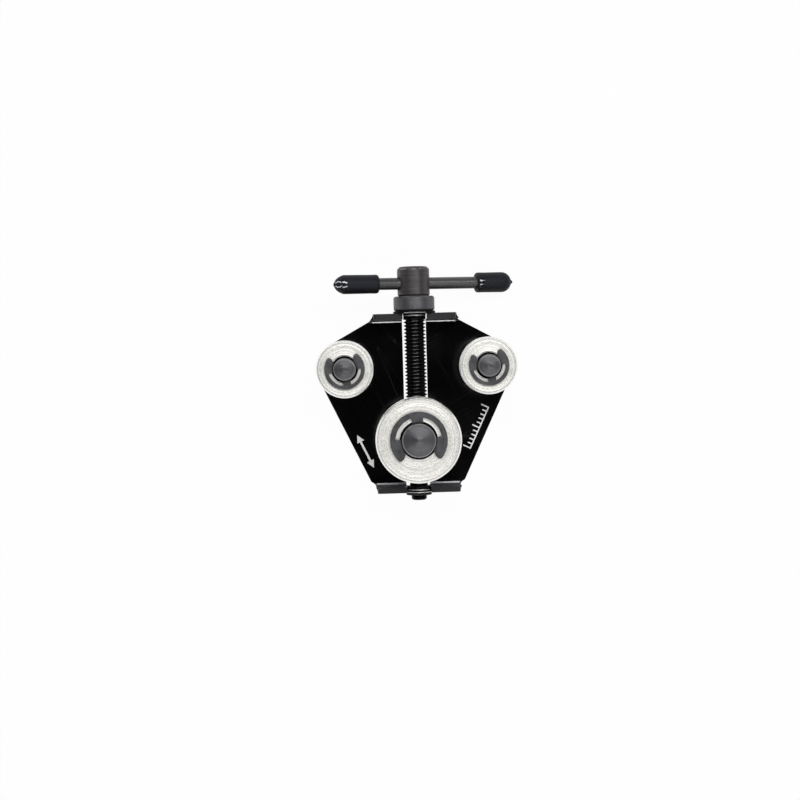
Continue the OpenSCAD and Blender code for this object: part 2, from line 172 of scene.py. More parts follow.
def ease_edges(piece, width):
    """The edge break that tumbling or paint leaves on a cut piece."""
    weld = piece.modifiers.new("joined", "WELD")
    weld.merge_threshold = 0.001 * mm
    bevel = piece.modifiers.new("edge_break", "BEVEL")
    bevel.width = width
    bevel.segments = 2
    bevel.limit_method = "ANGLE"
    bevel.angle_limit = math.radians(32)
    even = piece.modifiers.new("even_shade", "WEIGHTED_NORMAL")
    even.weight = 90


def dress(piece, finish):
    piece.data.materials.clear()
    piece.data.materials.append(finish.material)


plate_low, plate_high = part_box("frame_plate")
sheet, fold_radius, flange_half = 2 * mm, 1.0 * mm, 14.9 * mm
plate_front = plate_low.z + sheet
top_fold = plate_high.y - sheet - fold_radius
bottom_fold = plate_low.y + sheet + fold_radius
deep_black, edge_black = (0.0014, 0.0014, 0.0018), (0.006, 0.006, 0.0085)
dull_sheen_grey = (0.080, 0.080, 0.096)
scratch_grey, dust_grey, fold_highlight_white = (0.035, 0.036, 0.04), (0.05, 0.05, 0.055), (0.90, 0.90, 0.92)

paint = Finish("gloss_black_paint", Specular_IOR_Level=0.42, Coat_Roughness=0.10)
spot = paint.spot()
x, y, height = paint.axes(spot)
# Painted highlight: a thin pale, part-metal line along the start of each fold.
top_fold_highlight = y.band(top_fold - 0.02 * mm, top_fold + 0.53 * mm, 0.14 * mm)
bottom_fold_highlight = y.band(bottom_fold - 0.74 * mm, bottom_fold - 0.02 * mm, 0.14 * mm)
fold_highlight_zone = height.band(plate_front - 0.1 * mm, plate_front + 0.5 * mm, 0.05 * mm)
fold_highlight_zone = fold_highlight_zone * abs(x).step(flange_half + 0.3 * mm, flange_half - 0.3 * mm)
fold_highlight = fold_highlight_zone * (top_fold_highlight + bottom_fold_highlight)
inward = (paint.facing()[1] * y).step(-0.003, -0.012)
inward = inward * height.step(plate_front + 0.15 * mm, plate_front + 0.40 * mm)
cut_edge = height.step(plate_high.z - 0.30 * mm, plate_high.z - 0.18 * mm)
handled = paint.noise(spot, 14 * mm, 3.0).step(0.42, 0.72)
scratch = paint.hairlines(spot, 28, 4.2 * mm, 0.004) * handled
scratch = scratch + paint.hairlines(spot, -63, 5.1 * mm, 0.004) * (1 - handled)
dust = paint.noise(spot, 0.28 * mm, 1.0).step(0.73, 0.80)
black = paint.mix(cut_edge, deep_black, edge_black)
black = paint.mix(scratch * 0.20, black, scratch_grey)
black = paint.mix(dust * 0.20, black, dust_grey)
# Inside both flanges the paint is duller, and its lighter grey there is painted sheen.
black = paint.mix(inward, black, dull_sheen_grey)
paint.set(Base_Color=paint.mix(fold_highlight, black, fold_highlight_white))
paint.set(Metallic=fold_highlight_zone * (0.55 * top_fold_highlight + 0.25 * bottom_fold_highlight))
paint.set(Coat_Weight=0.45 - 0.45 * cut_edge.math("MAXIMUM", inward))
worn = 0.30 * cut_edge + 0.35 * inward + 0.22 * fold_highlight
paint.set(Roughness=0.13 + worn + 0.06 * handled + 0.15 * scratch)
paint.relief(paint.noise(spot, 1.1 * mm, 2.0) + 0.3 * scratch, 0.006 * mm)
dress(nodes["frame_plate"], paint)
ease_edges(nodes["frame_plate"], 0.12 * mm)


# Printed marks. White ink, pad-printed on the front of the plate along its two lower edges:
# a plain double arrow on the left and a plain row of ticks on the right.
ink_white, ink_thin = (0.92, 0.92, 0.91), (0.40, 0.40, 0.40)
ink_thickness = 0.02 * mm

ink = Finish("white_ink", Specular_IOR_Level=0.3)
spot = ink.spot()
thin = ink.noise(spot, 0.35 * mm, 3.0).step(0.60, 0.74)
ink.set(Base_Color=ink.mix(0.40 * thin, ink_white, ink_thin), Roughness=0.42 + 0.2 * thin)
ink.relief(ink.noise(spot, 0.12 * mm, 1.0), 0.004 * mm)


def set_down(name, mesh, place, finish, body):
    """Makes a piece from its mesh, puts it in its place and lets it move with a body."""
    bmesh.ops.recalc_face_normals(mesh, faces=mesh.faces)
    data = bpy.data.meshes.new(name)
    mesh.to_mesh(data)
    mesh.free()
    piece = bpy.data.objects.new(name, data)
    bpy.context.scene.collection.objects.link(piece)
    piece.matrix_world = place
    dress(piece, finish)
    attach(piece, body)
    return piece


def print_mark(name, outline, middle, turn):
    """A flat ink shape, drawn in millimetres round a point and turned by degrees."""
    mesh = bmesh.new()
    face = mesh.faces.new([mesh.verts.new((x * mm, y * mm, 0)) for x, y in outline])
    raised = bmesh.ops.extrude_face_region(mesh, geom=[face])["geom"]
    up = [corner for corner in raised if isinstance(corner, bmesh.types.BMVert)]
    bmesh.ops.translate(mesh, verts=up, vec=(0, 0, ink_thickness))
    place = Matrix.Translation((middle[0] * mm, middle[1] * mm, plate_front))
    place @= Matrix.Rotation(math.radians(turn), 4, "Z")
    set_down(name, mesh, place, ink, "frame_body")


edge_lean = 64.5
arrow_half, shaft_half, head_long, head_half = 6.6, 0.38, 2.8, 1.35
barb = arrow_half - head_long
arrow = [(-arrow_half, 0), (-barb, -head_half), (-barb, -shaft_half), (barb, -shaft_half),
         (barb, -head_half), (arrow_half, 0), (barb, head_half), (barb, shaft_half),
         (-barb, shaft_half), (-barb, head_half)]
arrow_middle = (-18.6, plate_low.y / mm + 14.53)
print_mark("double_arrow", arrow, arrow_middle, -edge_lean)

tick_pitch, tick_count, rule, long_tick, short_tick = 1.6, 10, 0.44, 2.6, 1.5
reach = tick_pitch * tick_count / 2
ticks = []
for tick in range(tick_count + 1):
    tall = long_tick if tick % 5 == 0 else short_tick
    left = -reach + tick * tick_pitch - rule / 2
    ticks += [(left, 0), (left, tall), (left + rule, tall), (left + rule, 0)]
base_line = [(reach + rule / 2, -rule), (-reach - rule / 2, -rule)]
ticks_middle = (22.3, plate_low.y / mm + 21.93)
print_mark("tick_row", base_line + ticks[1:-1], ticks_middle, edge_lean)


# Roller pins. Two blackened steel pins, turned with a shoulder that holds the roller clear of the
# plate, and riveted over behind it. The end faces keep the rings of the parting tool.
def corners(node):
    """A node's lowest and highest corners, in millimetres."""
    return [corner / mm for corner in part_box(node)]


def rounded(profile, radius, steps=3):
    """The profile with its inner corners eased to that radius, or less where a side is short."""
    eased = [profile[0]]
    for before, corner, after in zip(profile, profile[1:], profile[2:]):
        corner, to_before, to_after = (Vector(p) for p in (corner, before, after))
        to_before, to_after = to_before - corner, to_after - corner
        cut = min(radius, 0.4 * to_before.length, 0.4 * to_after.length)
        start, end = corner + cut * to_before.normalized(), corner + cut * to_after.normalized()
        for step in range(steps + 1):
            share = step / steps
            low, high = start.lerp(corner, share), corner.lerp(end, share)
            eased.append(tuple(low.lerp(high, share)))
    return eased + [profile[-1]]


def on_circle(radius, side, sides, level):
    """A point of a turned piece, from millimetres to metres."""
    angle = 2 * math.pi * side / sides
    return Vector((radius * math.cos(angle), radius * math.sin(angle), level)) * mm


def turned(profile, sides=144):
    """A solid turned about Z from (radius, height) points in millimetres."""
    mesh = bmesh.new()
    rings = []
    for radius, level in profile:
        rings.append([mesh.verts.new(on_circle(radius, side, sides, level)) for side in range(sides)])
    closed = profile[0][0] > 0 and profile[-1][0] > 0
    for low, high in zip(rings, rings[1:] + rings[:1] if closed else rings[1:]):
        for side in range(sides):
            after = (side + 1) % sides
            mesh.faces.new((low[side], low[after], high[after], high[side]))
    return mesh


def along(origin, direction):
    """The place of a piece whose own Z axis lies along a direction."""
    turn = Vector((0, 0, 1)).rotation_difference(Vector(direction))
    return Matrix.Translation(Vector(origin) * mm) @ turn.to_matrix().to_4x4()


def made_piece(name, mesh, place, finish, body, replaced):
    """Turns a mesh into the smooth piece that stands for a node."""
    bmesh.ops.remove_doubles(mesh, verts=mesh.verts, dist=1e-7)
    bmesh.ops.dissolve_degenerate(mesh, edges=mesh.edges, dist=1e-8)
    piece = set_down(name, mesh, place, finish, body)
    piece.data.shade_smooth()
    piece.modifiers.new("even_shade", "WEIGHTED_NORMAL").weight = 95
    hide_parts(replaced)
    return piece


def comb(finish, place, pattern, slope, crown=0.0):
    """Tilts the surface along a lathe's feed, to and fro as the pattern goes from 0 to 1."""
    def vector(operation, *terms):
        return finish.node("VectorMath", {"operation": operation}, dict(enumerate(terms)))

    around = vector("CROSS_PRODUCT", place, (0, 0, 1))
    turn = {"convert_from": "OBJECT", "convert_to": "WORLD"}
    around = vector("NORMALIZE", finish.node("VectorTransform", turn, {0: around}))
    facing = finish.node("NewGeometry", {}, {}).out("Normal")
    feed = vector("CROSS_PRODUCT", facing, around)
    lean = (pattern - 0.5) * slope + crown
    tilt = finish.node("VectorMath", {"operation": "SCALE"}, {0: feed, "Scale": lean})
    finish.set(Normal=vector("NORMALIZE", vector("ADD", facing, tilt)))


def turned_finish(name, colour, pitch, spread, centre=(0, 0, 0)):
    """Lathe-cut metal: rings about the Z axis in its colour, and values to make the rest from."""
    steel = Finish(name)
    steel.place = steel.spot(centre)
    x, y, steel.height = steel.axes(steel.place)
    steel.radius = (x * x + y * y) ** 0.5
    across = steel.radius + steel.height
    line = {"noise_dimensions": "1D"}
    steel.fine = steel.node("TexNoise", line, {"W": across, "Scale": 1 / pitch, "Detail": 1.5})
    steel.broad = steel.node("TexNoise", line, {"W": across, "Scale": 0.3 / pitch, "Detail": 2.0})
    steel.smudge = steel.noise(steel.place, 3.2 * mm, 3.0)
    speckle = steel.noise(steel.place, 0.45 * mm, 2.0)
    tone = 0.3 * steel.fine + 0.3 * steel.broad + 0.15 * steel.smudge + 0.25 * speckle
    dark = tuple(channel * (1 - spread) for channel in colour)
    light = tuple(min(1.0, channel * (1 + spread)) for channel in colour)
    steel.colour = steel.mix(tone.step(0.36, 0.64), dark, light)
    steel.set(Base_Color=steel.colour)
    return steel


def polish(steel, shine, roughness):
    """How metallic and how rough a lathe-cut finish is, with smudges and broad rings."""
    steel.set(Metallic=shine, Roughness=roughness - 0.06 + 0.10 * steel.smudge + 0.04 * steel.broad)


pin_at = {}
for side in ("left", "right"):
    roller_low, roller_high = corners(f"{side}_roller")
    pin_at[side] = (roller_low + roller_high) / 2
line_level = pin_at["left"].y
roller_back, roller_width = roller_low.z, roller_high.z - roller_low.z

room = 0.03
rivet_head, rivet, shoulder, journal, clip_seat = 5.5, 3.7, 6.0, 4.0, 3.5
behind_plate, before_plate = plate_low.z / mm - room, plate_front / mm + room
shoulder_level = roller_back - 0.1
clip_low, clip_high = corners("left_clip")[0].z - room, corners("left_clip")[1].z + room
pin_end = corners("left_pin")[1].z
pin_profile = rounded([
    (0, 0), (rivet_head - 1.2, 0), (rivet_head - 0.3, 0.6), (rivet_head, 1.2), (rivet_head, behind_plate),
    (rivet, behind_plate), (rivet, before_plate), (shoulder, before_plate), (shoulder, shoulder_level),
    (journal, shoulder_level), (journal, clip_low), (clip_seat, clip_low), (clip_seat, clip_high),
    (journal, clip_high), (journal, pin_end - 0.5), (journal - 0.5, pin_end), (0.55, pin_end),
    (0, pin_end - 0.12)], 0.12)
pin_grey, pin_chamfer_highlight, pin_edge_shade = (0.108, 0.108, 0.115), (0.34, 0.34, 0.35), (0.006, 0.006, 0.006)


def pin_finish(name, shaft, centre, roughness, crown):
    """Blackened steel with a painted highlight ring on the end's chamfer and painted shade outside it."""
    steel = turned_finish(name, pin_grey, 0.12 * mm, 0.18, centre)
    polish(steel, 0.85, roughness)
    comb(steel, steel.place, steel.fine, 1.2, crown)
    front = steel.height.step(clip_low * mm, (clip_low + 0.2) * mm)
    # Painted highlight: a pale ring on the chamfer of the pin's end.
    worn = front * steel.radius.band((shaft - 0.52) * mm, (shaft - 0.10) * mm, 0.10 * mm)
    # Painted shade: a near-black ring round the edge of the pin's end.
    painted_edge_shade = front * steel.radius.step((shaft - 0.16) * mm, (shaft - 0.08) * mm)
    steel.set(Base_Color=steel.mix(painted_edge_shade, steel.mix(worn, steel.colour, pin_chamfer_highlight), pin_edge_shade))
    return steel


pin_steel = pin_finish("blackened_pin", journal, (0, 0, 0), 0.38, 0.12)
for side, at in pin_at.items():
    made_piece(f"{side}_roller_pin", turned(pin_profile), along((at.x, at.y, 0), (0, 0, 1)),
               pin_steel, "frame_body", f"{side}_pin")


# Small rollers. Turned steel, plated bright, with a round-bottomed groove for the line.
# They run free on the pins, each with a fine chamfer at its rims and bore.
running_fit = 0.05
groove_depth, groove_radius, groove_flare = 3.3, 2.45, math.radians(10)
rim_chamfer, bore_chamfer = 0.5, 0.6
plating, pit_grey, stain_tan = (0.955, 0.935, 0.888), (0.50, 0.49, 0.46), (0.56, 0.53, 0.44)
tool_grey, score_grey = (0.45, 0.44, 0.42), (0.22, 0.22, 0.21)
covered_painted_light, chamfer_highlight_white, painted_bore_shade = (0.98, 0.96, 0.92), (0.98, 0.98, 0.97), (0.010, 0.010, 0.009)


def roller_profile(rim, bore):
    middle = roller_width / 2
    hollow = rim - groove_depth + groove_radius
    half_mouth = groove_radius * math.cos(groove_flare)
    half_mouth += (rim - hollow - groove_radius * math.sin(groove_flare)) * math.tan(groove_flare)
    groove = []
    arc_steps = 20
    for step in range(arc_steps + 1):
        angle = (math.pi - 2 * groove_flare) * (step / arc_steps - 0.5)
        groove.append((hollow - groove_radius * math.cos(angle), middle + groove_radius * math.sin(angle)))
    return rounded(
        [(bore, bore_chamfer), (bore + bore_chamfer, 0), (rim - rim_chamfer, 0), (rim, rim_chamfer),
         (rim, middle - half_mouth), *groove, (rim, middle + half_mouth), (rim, roller_width - rim_chamfer),
         (rim - rim_chamfer, roller_width), (bore + bore_chamfer, roller_width),
         (bore, roller_width - bore_chamfer)], 0.10)


def roller_finish(name, rim, bore):
    """Bright plating with pits, a score inside the rim, a painted highlight on the rim chamfer, tool rings
    outside the part that its ring covers, painted light on that part, and painted shade next to the pin."""
    steel = turned_finish(name, plating, 0.40 * mm, 0.06)
    comb(steel, steel.place, steel.fine, 1.2)
    facing = abs(steel.facing()[2])
    face = facing.step(0.80, 0.95)
    pits = face * steel.noise(steel.place, 0.36 * mm, 1.5).step(0.56, 0.34)
    stain = steel.noise(steel.place, 2.4 * mm, 3.0).step(0.50, 0.72)
    # Painted highlight: the rim chamfer is painted whiter.
    chamfer_highlight = steel.radius.step((rim - 0.50) * mm, (rim - 0.36) * mm) * facing.step(0.30, 0.50)
    score = steel.radius.band((rim - 0.92) * mm, (rim - 0.58) * mm, 0.1 * mm)
    tool_rings = (steel.radius * (2 * math.pi / (0.62 * mm))).math("SINE").step(0.2, 0.9)
    tool_rings = tool_rings * steel.radius.step((bore + 0.5 * rim) * mm, (bore + 0.3 * rim) * mm)
    tool_rings = tool_rings * steel.noise(steel.place, 5.0 * mm, 1.0).step(0.38, 0.60)
    covered = steel.radius.step((bore + 2.3) * mm, (bore + 1.9) * mm)
    tool_rings = tool_rings * (1 - covered)
    # Painted shade: a near-black ring on the bore chamfer, next to the pin.
    bore_shade = steel.radius.step((bore + 0.58) * mm, (bore + 0.46) * mm)
    shade = steel.mix(0.60 * pits, steel.colour, pit_grey)
    shade = steel.mix(0.16 * stain, shade, stain_tan)
    shade = steel.mix(0.34 * tool_rings, shade, tool_grey)
    shade = steel.mix(0.55 * score, shade, score_grey)
    # Painted light: the face under the ring is painted lighter.
    shade = steel.mix(0.55 * covered, shade, covered_painted_light)
    shade = steel.mix(chamfer_highlight, shade, chamfer_highlight_white)
    steel.set(Base_Color=steel.mix(bore_shade, shade, painted_bore_shade), Metallic=0.92 - 0.47 * face)
    steel.set(Roughness=0.22 + 0.14 * face + 0.12 * steel.smudge)
    return steel


small_rim, small_bore = (roller_high.x - roller_low.x) / 2, journal + running_fit
small_roller_steel = roller_finish("bright_small_roller", small_rim, small_bore)
for side, at in pin_at.items():
    made_piece(f"{side}_grooved_roller", turned(roller_profile(small_rim, small_bore), 192),
               along((at.x, at.y, roller_back), (0, 0, 1)),
               small_roller_steel, f"{side}_roller_body", f"{side}_roller")


# Retaining rings. Stamped from spring steel and phosphated dark grey, pushed sideways into the
# grooves of the pins. The punch leaves their edges slightly round, and they carry painted shade next to the
# pin.
phosphate_dark, phosphate_light = (0.034, 0.034, 0.036), (0.098, 0.098, 0.103)
ring_painted_shade = (0.010, 0.010, 0.010)


def ring_finish(name, centre, shaft, along_spindle=False):
    steel = Finish(name, Metallic=0.35)
    spot = steel.spot(tuple(place * mm for place in centre))
    x, y, z = steel.axes(spot)
    level = z if along_spindle else y
    # Painted shade: the ring is darkened close to the pin it sits on.
    painted_edge_shade = ((x * x + level * level) ** 0.5).step((shaft + 0.42) * mm, (shaft + 0.20) * mm)
    grain = steel.noise(spot, 0.16 * mm, 3.0)
    stain = steel.noise(spot, 2.5 * mm, 2.0)
    mottle = (0.6 * grain + 0.4 * stain).step(0.36, 0.64)
    grey = steel.mix(mottle, phosphate_dark, phosphate_light)
    steel.colour = steel.mix(0.9 * painted_edge_shade, grey, ring_painted_shade)
    steel.set(Base_Color=steel.colour, Roughness=0.42 + 0.16 * grain)
    steel.relief(grain, 0.004 * mm)
    return steel


large_low, large_high = corners("big_roller")
carriage_y = (large_low.y + large_high.y) / 2
large_journal = 6.0
ring_seats = {"left_clip": ((pin_at["left"].x, line_level, 0), journal),
              "right_clip": ((pin_at["right"].x, line_level, 0), journal),
              "big_roller_clip": ((0, carriage_y, 0), large_journal),
              "carriage_clip": ((0, carriage_y, 0), journal)}
for name, (centre, shaft) in ring_seats.items():
    dress(nodes[name], ring_finish("phosphated_" + name, centre, shaft))
    ease_edges(nodes[name], 0.12 * mm)


# Carriage pin. One blackened turned piece: it carries the large roller in front, is threaded on the
# spindle, and slides in the slot with its tongue. A washer and a ring hold it behind the plate.
carriage_steel = pin_finish("blackened_carriage", large_journal, (0, carriage_y * mm, 0), 0.37, 0.20)
dress(nodes["carriage_pin"], carriage_steel)
ease_edges(nodes["carriage_pin"], 0.10 * mm)

washer_grey = (0.060, 0.060, 0.062)
washer_steel = turned_finish("black_washer", washer_grey, 0.15 * mm, 0.25)
polish(washer_steel, 0.60, 0.36)
comb(washer_steel, washer_steel.place, washer_steel.fine, 0.6)
dress(nodes["carriage_washer"], washer_steel)
ease_edges(nodes["carriage_washer"], 0.08 * mm)


# Large roller. The same turned and plated steel as the small ones, half as large again.
# It rides on the carriage pin and presses the line between the other two.
large_rim, large_bore = (large_high.x - large_low.x) / 2, large_journal + running_fit
made_piece("large_grooved_roller", turned(roller_profile(large_rim, large_bore), 240),
           along((0, carriage_y, roller_back), (0, 0, 1)),
           roller_finish("bright_large_roller", large_rim, large_bore),
           "big_roller_body", "big_roller")


# Spindle. Blackened steel with a right-hand M8 thread, a thin journal and a ring groove at the
# bottom, and a plain head with a drilled cross hole at the top. A dark ring holds its lower end.
# Levels along it are counted from the line of the small pins.
spindle_low, spindle_high = corners("spindle")
spindle_level = (spindle_low.z + spindle_high.z) / 2
head = spindle_high.x
tip_end, head_end = spindle_low.y - line_level, spindle_high.y - line_level
groove_low, groove_high = (corner.y - line_level for corner in corners("spindle_clip"))
groove_low, groove_high = groove_low - room, groove_high + room
land_low = corners("lower_bush")[1].y - line_level + 2 * room
head_low = corners("thrust_collar")[1].y - line_level + room
thread_pitch, crest, root, thread_low, thread_high = 1.25, 3.85, 3.13, -40.5, 16.8
tail, tail_groove, runout, neck, neck_low = 2.7, 2.0, 3.95, 4.05, 18.2
lower_end = rounded([(0, tip_end), (tail - 0.5, tip_end), (tail, tip_end + 0.5), (tail, groove_low),
                     (tail_groove, groove_low), (tail_groove, groove_high), (tail, groove_high),
                     (tail, land_low), (root, land_low), (root, thread_low)], 0.10)
upper_end = rounded([(root, thread_high), (runout, thread_high), (runout, neck_low), (neck, neck_low),
                     (neck, head_low), (head - 0.5, head_low), (head, head_low + 0.5),
                     (head, head_end - 0.9), (head - 0.9, head_end), (0, head_end)], 0.18)
shoulder_of_crest = crest - 0.04
flank = [(0.0, root), (0.25, root), (0.56, shoulder_of_crest), (0.60, crest), (0.65, crest),
         (0.69, shoulder_of_crest)]


def spindle_mesh(sides=72):
    """Plain turned ends with the thread's rows wound between them."""
    rows = [[(radius, level)] * (sides + 1) for radius, level in lower_end]
    turns = math.ceil((thread_high - thread_low) / thread_pitch)
    for turn in range(-1, turns + 1):
        for share, radius in flank:
            row = []
            for side in range(sides + 1):
                level = thread_low + thread_pitch * (turn + share + side / sides)
                inside = thread_low < level < thread_high
                row.append((radius if inside else root, min(max(level, thread_low), thread_high)))
            rows.append(row)
    rows += [[(radius, level)] * (sides + 1) for radius, level in upper_end]
    mesh = bmesh.new()
    grid = []
    for row in rows:
        grid.append([mesh.verts.new(on_circle(radius, side % sides, sides, level))
                     for side, (radius, level) in enumerate(row)])
    for low, high in zip(grid, grid[1:]):
        for side in range(sides):
            mesh.faces.new((low[side], low[side + 1], high[side + 1], high[side]))
    return mesh


spindle_black, thread_oil = (0.092, 0.084, 0.086), (0.002, 0.002, 0.002)
crest_highlight_grey, neck_highlight_white, knock_highlight_grey = (0.190, 0.187, 0.180), (0.95, 0.94, 0.92), (0.34, 0.33, 0.32)
spindle_steel = turned_finish("blackened_spindle", spindle_black, 0.16 * mm, 0.20)
spindle_steel.set(Specular_IOR_Level=0.07)
oiled = spindle_steel.height.step((head_low + 0.24) * mm, (head_low - 0.16) * mm)
on_thread = spindle_steel.height.step((thread_high + 0.2) * mm, (thread_high - 0.1) * mm)
# Painted highlight: pale, more metallic crests only where the thread faces up.
highlight_band = on_thread * spindle_steel.radius.step((crest - 0.14) * mm, (crest - 0.04) * mm)
front = (0 - spindle_steel.axes(spindle_steel.place)[1]) / spindle_steel.radius
highlight_band = highlight_band * (0.05 + 0.95 * front.step(0.945, 0.992))
# Painted highlight: a near-white band at the edge of the neck.
neck_highlight = spindle_steel.height.band((neck_low - 0.2) * mm, (neck_low + 0.3) * mm, 0.1 * mm)
# Knocks on the head's top chamfer: wear, painted pale enough to stand for a highlight too.
knocks_and_highlight = spindle_steel.noise(spindle_steel.place, 1.6 * mm, 2.0).step(0.40, 0.58)
knocks_and_highlight = knocks_and_highlight * spindle_steel.height.band((head_end - 1.21) * mm, (head_end - 0.66) * mm, 0.15 * mm)
shade = spindle_steel.mix(oiled, spindle_steel.colour, thread_oil)
shade = spindle_steel.mix(highlight_band, shade, crest_highlight_grey)
shade = spindle_steel.mix(neck_highlight, shade, neck_highlight_white)
shade = spindle_steel.mix(0.8 * knocks_and_highlight, shade, knock_highlight_grey)
spindle_steel.set(Base_Color=shade, Metallic=0.60 - 0.5 * oiled + 0.8 * neck_highlight + 0.8 * highlight_band)
spindle_steel.set(Roughness=0.38 - 0.10 * oiled - 0.06 * highlight_band)
comb(spindle_steel, spindle_steel.place, spindle_steel.fine, 0.8 - 0.8 * oiled + 1.1 * highlight_band)
spindle = made_piece("threaded_spindle", spindle_mesh(), along((0, line_level, spindle_level), (0, 1, 0)),
                     spindle_steel, "spindle_body", "spindle")

bar_radius = 2.1
bar_low, bar_high = corners("tommy_bar")
bar_middle = Vector((0, (bar_low.y + bar_high.y) / 2, spindle_level))
bar_direction = Vector(next(joint["axis"] for joint in frame["joints"] if joint["name"] == "bar_slide"))
hole, hole_half = bar_radius + running_fit, 9
drill_mesh = turned([(0, -hole_half), (hole, -hole_half), (hole, hole_half), (0, hole_half)], 96)
drill_data = bpy.data.meshes.new("cross_hole")
drill_mesh.to_mesh(drill_data)
drill_mesh.free()
drill = bpy.data.objects.new("cross_hole", drill_data)
bpy.context.scene.collection.objects.link(drill)
drill.matrix_world = along(bar_middle, bar_direction)
drilled = spindle.modifiers.new("drilled", "BOOLEAN")
drilled.operation = "DIFFERENCE"
drilled.solver = "EXACT"
drilled.object = drill
bpy.context.view_layer.update()
with bpy.context.temp_override(object=spindle, active_object=spindle):
    bpy.ops.object.modifier_move_to_index(modifier="drilled", index=0)
    bpy.ops.object.modifier_apply(modifier="drilled")
bpy.data.objects.remove(drill)

end_ring = ring_finish("phosphated_spindle_clip", (0, 0, spindle_level), tail, True)
end_ring_black = (0.008, 0.008, 0.009)
end_ring.set(Base_Color=end_ring.mix(0.7, end_ring.colour, end_ring_black), Specular_IOR_Level=0.3)
dress(nodes["spindle_clip"], end_ring)
ease_edges(nodes["spindle_clip"], 0.10 * mm)


# Thrust collar, washer and lower bush. Turned rings on the spindle: the collar takes the push of the
# head, the thin washer spares the paint of the flange, and the bush sits in the lower notch.
collar_grey = (0.108, 0.107, 0.116)
washer_shade_black, washer_highlight_grey = (0.005, 0.005, 0.005), (0.36, 0.36, 0.35)
bush_black, bush_highlight_white = (0.004, 0.004, 0.004), (0.90, 0.90, 0.88)

collar_steel = turned_finish("blackened_collar", collar_grey, 0.14 * mm, 0.16)
polish(collar_steel, 0.65, 0.42)
comb(collar_steel, collar_steel.place, collar_steel.fine, 0.9)

# The thrust washer is near black: painted shade under the collar.
shade_black_washer = turned_finish("shade_black_washer", washer_shade_black, 0.15 * mm, 0.25)
polish(shade_black_washer, 0.10, 0.40)
shade_black_washer.set(Specular_IOR_Level=0.05)
across = abs(shade_black_washer.axes(shade_black_washer.place)[0])
# Painted highlight: a pale band along the washer's low edge, across its middle.
highlight_band = shade_black_washer.height.step(0.34 * mm, 0.24 * mm) * across.step(4.0 * mm, 3.4 * mm)
shade_black_washer.set(Base_Color=shade_black_washer.mix(highlight_band, shade_black_washer.colour, washer_highlight_grey))
comb(shade_black_washer, shade_black_washer.place, shade_black_washer.fine, 0.6)

bush_steel = turned_finish("black_bush", bush_black, 0.15 * mm, 0.25)
bush_steel.set(Specular_IOR_Level=0.15)
# Painted highlight: two near-white lines round the bush.
highlight_lines = bush_steel.height.band(1.02 * mm, 1.42 * mm, 0.1 * mm)
highlight_lines = highlight_lines + bush_steel.height.band(0.08 * mm, 0.48 * mm, 0.1 * mm)
bush_steel.set(Base_Color=bush_steel.mix(highlight_lines, bush_steel.colour, bush_highlight_white))
polish(bush_steel, 0.10 + 0.4 * highlight_lines, 0.36)
comb(bush_steel, bush_steel.place, bush_steel.fine, 0.6)


def ring_profile(bore, outer, height, bevel):
    return rounded([(bore, bevel), (bore + bevel, 0), (outer - bevel, 0), (outer, bevel),
                    (outer, height - bevel), (outer - bevel, height), (bore + bevel, height),
                    (bore, height - bevel)], 0.08)


for name, node, shaft, bevel, finish, body, slot in (
        ("push_collar", "thrust_collar", neck, 0.5, collar_steel, "spindle_body", "collar_steel"),
        ("thin_washer", "thrust_washer", neck, 0.12, shade_black_washer, "frame_body", "washer_steel"),
        ("notch_bush", "lower_bush", tail, 0.2, bush_steel, "frame_body", "washer_steel")):
    low, high = corners(node)
    made_piece(name, turned(ring_profile(shaft + running_fit, high.x, high.y - low.y, bevel)),
               along((0, low.y, spindle_level), (0, 1, 0)), finish, body, node)


# Tommy bar. Drawn round steel, blackened, that slides through the head of the spindle. The drawing die
# leaves fine lines along it, the blackening is mottled and darker on the left, where it is held, and its
# low side is painted darker, painted shade.
bar_dark, bar_light = (0.050, 0.050, 0.052), (0.135, 0.135, 0.140)
handled_black, bar_low_side_shade = (0.012, 0.011, 0.010), (0.006, 0.006, 0.006)
run, fall = bar_direction.x, -bar_direction.z
left_end, right_end = (bar_low.x + bar_radius * fall) / run, (bar_high.x - bar_radius * fall) / run

bar_steel = Finish("drawn_bar", Metallic=0.55)
spot = bar_steel.spot()
lines = bar_steel.noise(bar_steel.drawn(spot, (0, math.atan2(fall, run), 0), 50), 0.12 * mm, 2.0)
scale = bar_steel.noise(spot, 0.40 * mm, 2.0).step(0.38, 0.62)
handled = bar_steel.axes(spot)[0].step(-4 * mm, -9 * mm)
# Painted shade: the bar's low side is near black.
lower_side = bar_steel.facing()[1].step(-0.55, -0.85)
grey = bar_steel.mix(0.5 * lines + 0.5 * scale, bar_dark, bar_light)
grey = bar_steel.mix(0.30 * handled, grey, handled_black)
bar_steel.set(Base_Color=bar_steel.mix(0.85 * lower_side, grey, bar_low_side_shade), Roughness=0.34 + 0.14 * lines)
bar_steel.relief(lines, 0.005 * mm)
bar_profile = rounded([(0, left_end), (bar_radius, left_end), (bar_radius, right_end), (0, right_end)], 0.3)


def leaning(mesh, way):
    """The turned solid with its axis laid along the bar, to the right for 1 and to the left for -1."""
    bmesh.ops.transform(mesh, matrix=along((0, 0, 0), way * bar_direction), verts=mesh.verts)
    return mesh


made_piece("sliding_bar", leaning(turned(bar_profile, 96), 1), Matrix.Translation(bar_middle * mm),
           bar_steel, "bar_body", "tommy_bar")


# Grips. Caps of soft vinyl pulled over the bar ends, blue-black, with a soft rolled mouth, a wet shine
# near it and near the left tip, a nipple on each tip, a painted glint ring on the left one and painted
# shade along their low sides.
navy_dark, navy_light = (0.0060, 0.0068, 0.0112), (0.0112, 0.0124, 0.0200)
low_side_shade, glint_pale = (0.001, 0.001, 0.002), (0.62, 0.62, 0.64)
glint_from_mouth = 14.6

